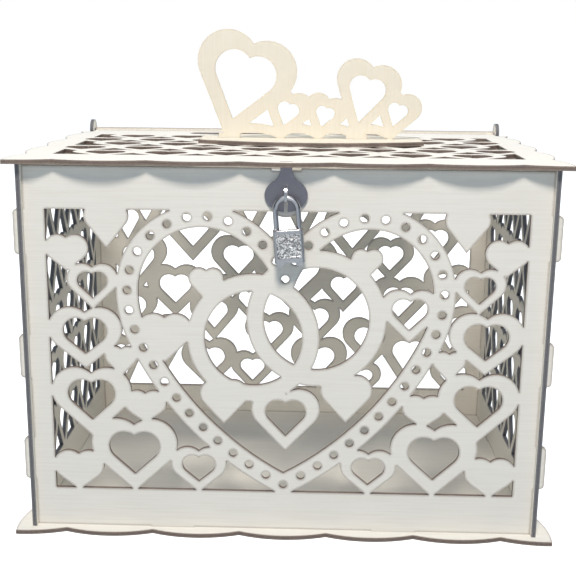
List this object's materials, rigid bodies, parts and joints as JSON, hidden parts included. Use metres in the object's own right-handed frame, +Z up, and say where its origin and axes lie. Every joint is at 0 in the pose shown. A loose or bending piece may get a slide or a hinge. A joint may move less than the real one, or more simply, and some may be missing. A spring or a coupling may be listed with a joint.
{
  "type": "wedding card box",
  "caption": "Fretwork plywood box for wedding cards: slotted walls, a hinged lid with a card slot and a standing heart topper, shut by a hasp, staple and small padlock.",
  "frame": {"origin": "centre of the base plate's underside, on the surface the box stands on", "axes": "X across the front, positive to the right as seen from the front; Y from the front to the back; Z up. The front with the padlock faces -Y."},
  "size_m": [0.3188, 0.23, 0.2942],
  "materials": {
    "painted_ply": "white-washed plywood with faint grain, brown laser-cut edges",
    "topper_ply": "cream painted plywood",
    "hasp_steel": "dark nickel-plated sheet steel",
    "staple_steel": "bright plated steel",
    "shackle_chrome": "bright chrome plating",
    "lock_steel": "bright plated case",
    "sparkle_plate": "pressed plate with a sparkling grain",
    "spring_steel": "plain steel",
    "brass": "plain brass"
  },
  "bodies": {
    "box": {"base_plate": "painted_ply", "front_panel": "painted_ply", "back_panel": "painted_ply", "left_panel": "painted_ply", "right_panel": "painted_ply", "staple_tab": "staple_steel"},
    "lid": {"lid_panel": "painted_ply", "hasp_plate": "hasp_steel", "topper_foot": "topper_ply", "topper_panel": "topper_ply"},
    "shackle": {"shackle": "shackle_chrome"},
    "padlock": {"padlock_body": "lock_steel", "padlock_face": "sparkle_plate", "padlock_back": "sparkle_plate", "padlock_base": "lock_steel", "latch_spring": "spring_steel", "shackle_spring": "spring_steel", "cylinder_retainer": "spring_steel"},
    "key_cylinder": {"key_cylinder": "brass", "cylinder_wafers": "brass"},
    "latch": {"locking_latch": "spring_steel"}
  },
  "joints": [
    {"name": "lid_hinge", "type": "hinge", "parent": "box", "child": "lid", "pos_m": [0, 0.10135, 0.22075], "axis": [-1, 0, 0], "range_deg": [0, 115]},
    {"name": "padlock_swing", "type": "hinge", "parent": "box", "child": "shackle", "pos_m": [0, -0.1113, 0.2027], "axis": [-1, 0, 0], "range_deg": [0, 75]},
    {"name": "shackle_release", "type": "slide", "parent": "shackle", "child": "padlock", "axis": [0.0785, 0, -0.9969], "range_m": [0, 0.007]},
    {"name": "key_turn", "type": "hinge", "parent": "padlock", "child": "key_cylinder", "pos_m": [0.00235, -0.1113, 0.17279], "axis": [-0.0785, 0, 0.9969], "range_deg": [-90, 0]},
    {"name": "latch_slide", "type": "slide", "parent": "padlock", "child": "latch", "axis": [0.9969, 0, 0.0785], "range_m": [0, 0.00101]}
  ],
  "couplings": [
    {"joint": "latch_slide", "follows": "key_turn", "m_per_rad": -0.0006366}
  ]
}
